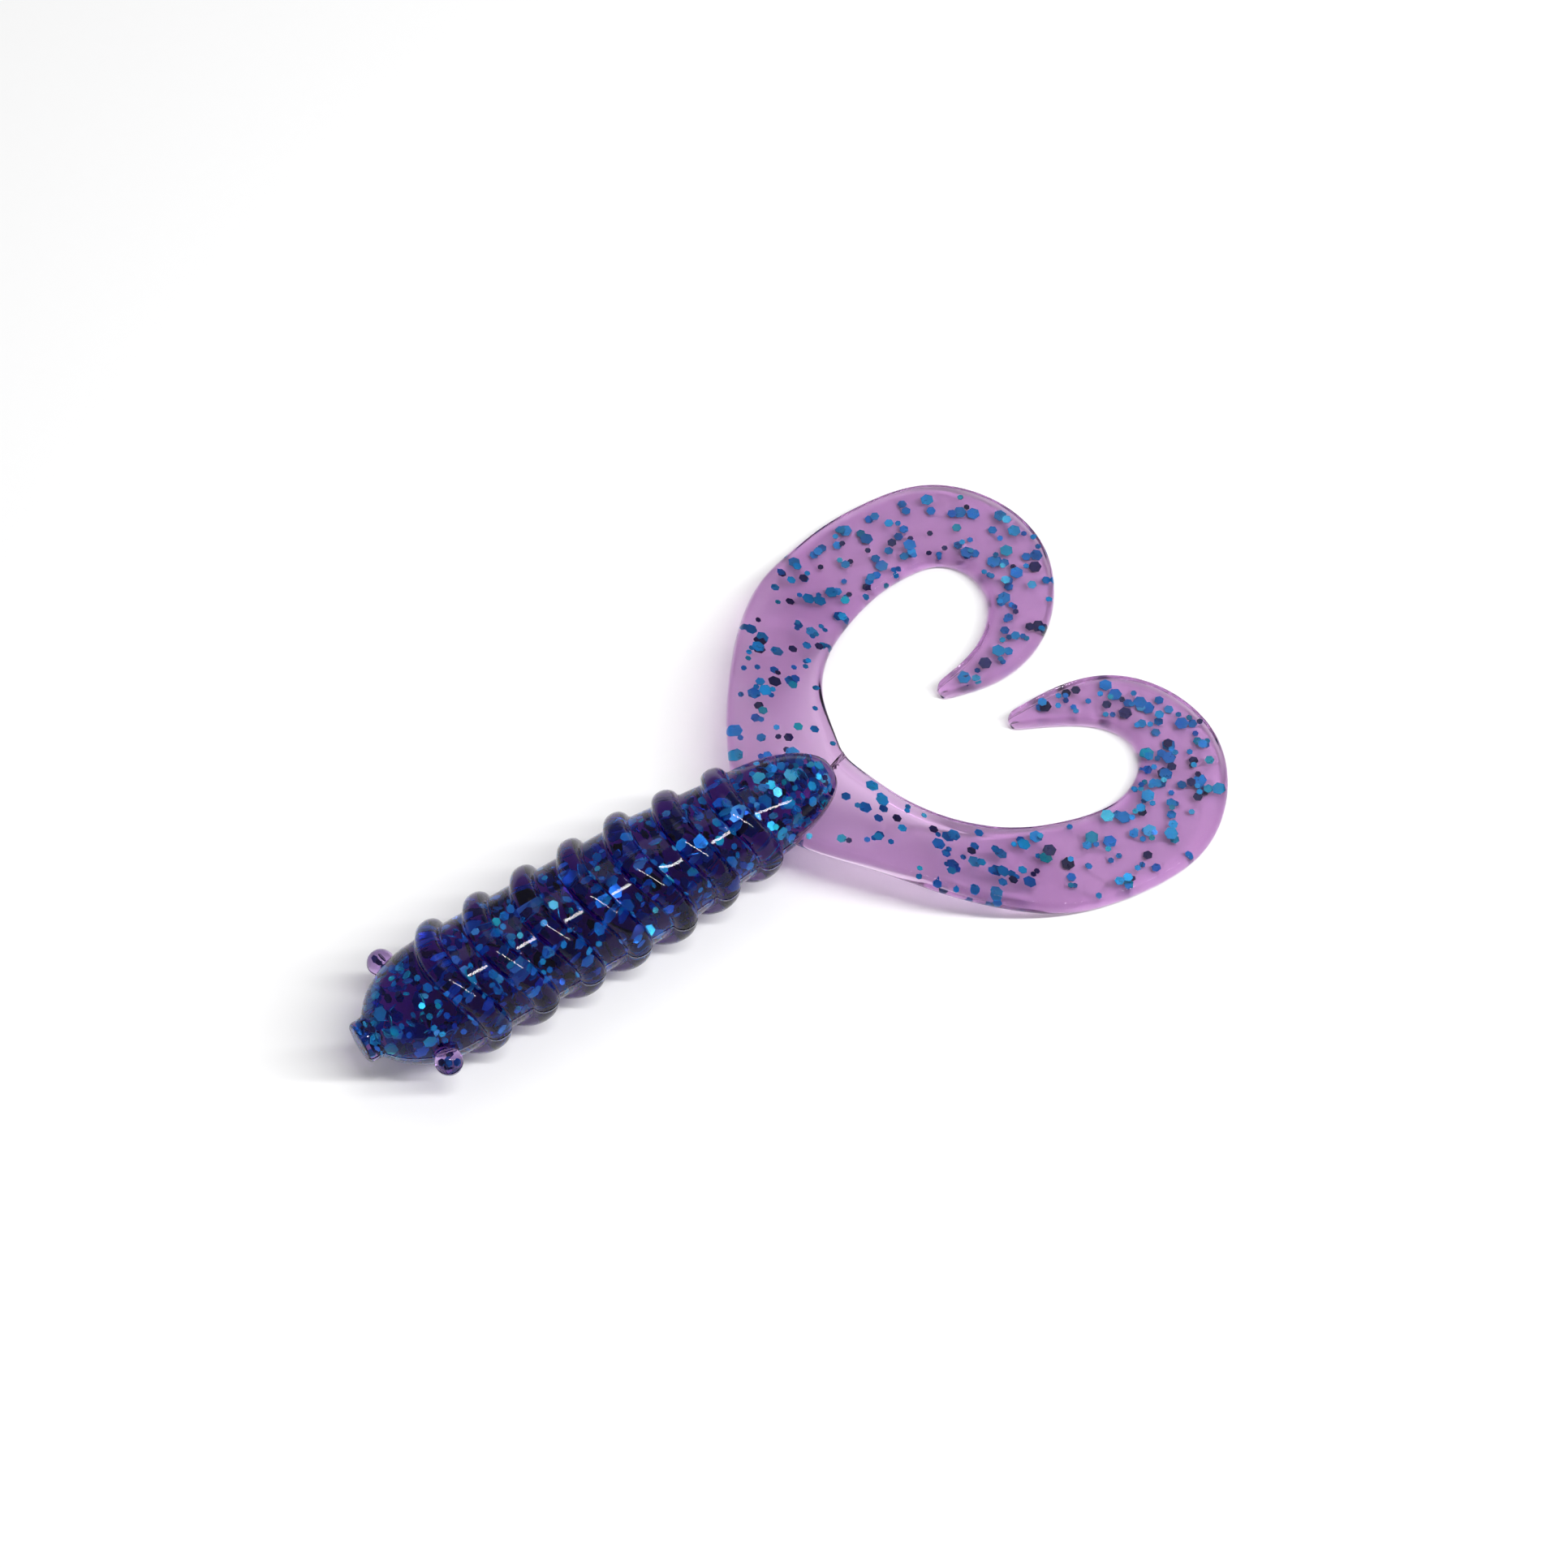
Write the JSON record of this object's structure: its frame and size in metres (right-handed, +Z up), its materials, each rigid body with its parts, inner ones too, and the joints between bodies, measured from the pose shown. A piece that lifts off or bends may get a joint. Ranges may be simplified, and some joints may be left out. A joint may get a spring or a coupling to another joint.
{
  "type": "soft plastic worm",
  "caption": "Ribbed soft plastic fishing worm with a nubbed nose, stalk eyes and two flat curled tails that lie in a heart.",
  "frame": {"origin": "centre of the small flat face on the nose nub, on the trunk's axis", "axes": "+X along the trunk from the nose to the tails, +Z up with the worm lying on its ribs and tails, +Y to the worm's far side (its right)"},
  "size_m": [0.0599, 0.0354, 0.0094],
  "materials": {
    "trunk_plastisol": "wet-looking clear purple plastisol, dark where it is thick",
    "tail_plastisol": "wet-looking clear purple plastisol, pale where it is thin",
    "glitter_coarse": "blue metallised polyester hexagons, 0.89 mm",
    "glitter_fine": "blue metallised polyester hexagons, 0.38 mm"
  },
  "bodies": {
    "front": {"nose_nub": "trunk_plastisol", "head": "trunk_plastisol", "trunk_front": "trunk_plastisol", "rib_1": "trunk_plastisol", "rib_2": "trunk_plastisol", "rib_3": "trunk_plastisol", "rib_4": "trunk_plastisol", "far_eye": "trunk_plastisol", "near_eye": "trunk_plastisol", "glitter_front_coarse": "glitter_coarse", "glitter_front_fine": "glitter_fine"},
    "rear": {"trunk_rear": "trunk_plastisol", "rib_5": "trunk_plastisol", "rib_6": "trunk_plastisol", "rib_7": "trunk_plastisol", "tail_tongue": "trunk_plastisol", "tail_web": "tail_plastisol", "glitter_rear_coarse": "glitter_coarse", "glitter_rear_fine": "glitter_fine"},
    "far_tail": {"far_tail": "tail_plastisol", "glitter_far_coarse": "glitter_coarse", "glitter_far_fine": "glitter_fine"},
    "near_tail": {"near_tail": "tail_plastisol", "glitter_near_coarse": "glitter_coarse", "glitter_near_fine": "glitter_fine"}
  },
  "joints": [
    {"name": "trunk_bend", "type": "hinge", "parent": "front", "child": "rear", "pos_m": [0.01998, 0, 0], "axis": [0, 0, 1], "range_deg": [-12, 12], "stiffness_Nm_per_rad": 0.004},
    {"name": "far_tail_flap", "type": "hinge", "parent": "rear", "child": "far_tail", "pos_m": [0.038, 0.009, -0.00137], "axis": [0, -1, 0], "range_deg": [-40, 60], "stiffness_Nm_per_rad": 0.0008},
    {"name": "near_tail_flap", "type": "hinge", "parent": "rear", "child": "near_tail", "pos_m": [0.038, -0.009, -0.00137], "axis": [0, -1, 0], "range_deg": [-40, 60], "stiffness_Nm_per_rad": 0.0008}
  ]
}
